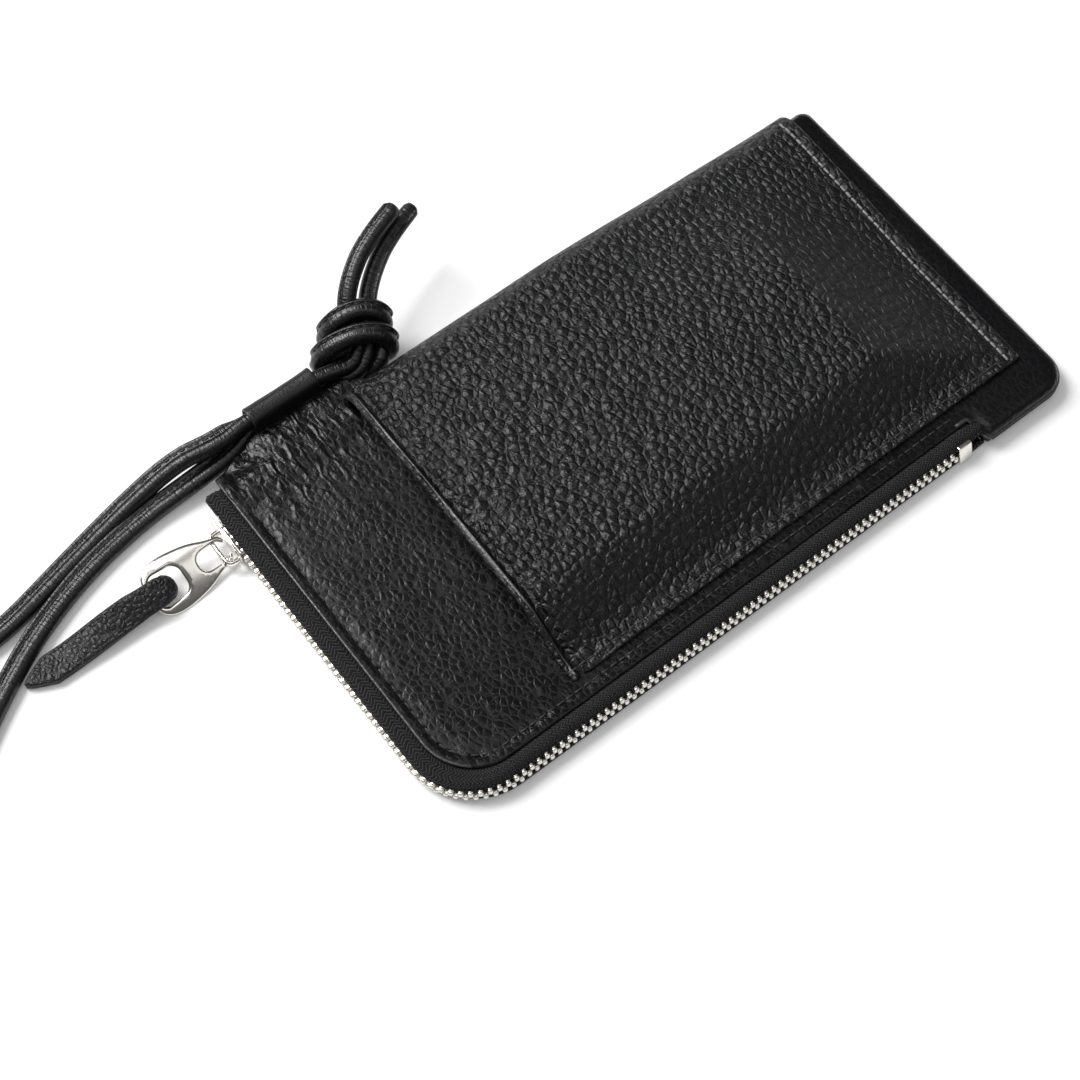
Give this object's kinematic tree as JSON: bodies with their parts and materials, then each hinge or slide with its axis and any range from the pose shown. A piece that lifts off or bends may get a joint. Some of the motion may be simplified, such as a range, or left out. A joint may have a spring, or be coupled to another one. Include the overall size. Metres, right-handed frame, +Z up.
{
  "type": "phone pouch",
  "caption": "Flat leather phone pouch with an L-shaped zip, a slip pocket on its front and a cord strap that runs through a side sleeve and ends in a knot.",
  "frame": {"origin": "on the underside of the back panel, under the middle of the pouch's outline with its zip", "axes": "+X along the pouch from the zip's mouth end to the bottom end, +Y across it from the zip's long side to the fold and its sleeve, +Z up out of the slip pocket's face"},
  "size_m": [0.3289, 0.1302, 0.0242],
  "materials": {
    "pebbled_leather": "pebbled grain, satin",
    "smooth_leather": "smooth, satin",
    "cord_leather": "round sewn cord, satin",
    "zip_tape": "herringbone weave",
    "zip_metal": "polished nickel",
    "thread": "twisted thread",
    "tie_band": "woven band"
  },
  "bodies": {
    "pouch": {"back_panel": "pebbled_leather", "front_panel": "pebbled_leather", "fold_edge": "pebbled_leather", "pocket_panel": "pebbled_leather", "mouth_hem": "pebbled_leather", "zip_tape_front": "zip_tape", "zip_tape_back": "zip_tape", "zip_teeth_front": "zip_metal", "zip_teeth_back": "zip_metal", "top_stops": "zip_metal", "bottom_stop": "zip_metal", "pocket_stitches": "thread", "mouth_stitches": "thread", "zip_stitches": "thread", "sleeve": "smooth_leather", "sleeve_tab": "smooth_leather", "sleeve_strands": "cord_leather", "strap_knot": "cord_leather", "tail_left": "cord_leather", "tail_right": "cord_leather", "strap_upper_run": "cord_leather", "strap_lower_run": "cord_leather", "strap_coil": "cord_leather", "coil_tie": "tie_band"},
    "slider": {"slider_body": "zip_metal", "slider_bridge": "zip_metal"},
    "puller": {"puller_plate": "zip_metal"},
    "pull": {"leather_pull": "smooth_leather"}
  },
  "joints": [
    {"name": "slider_run", "type": "slide", "parent": "pouch", "child": "slider", "axis": [0, -1, 0], "range_m": [0, 0.06]},
    {"name": "puller_lift", "type": "hinge", "parent": "slider", "child": "puller", "pos_m": [-0.0947, 0.0369, 0.0034], "axis": [0, 1, 0], "range_deg": [0, 100]},
    {"name": "pull_lift", "type": "hinge", "parent": "puller", "child": "pull", "pos_m": [-0.11325, 0.0369, 0.0034], "axis": [0, 0.9063, 0.4226], "range_deg": [0, 90]}
  ]
}
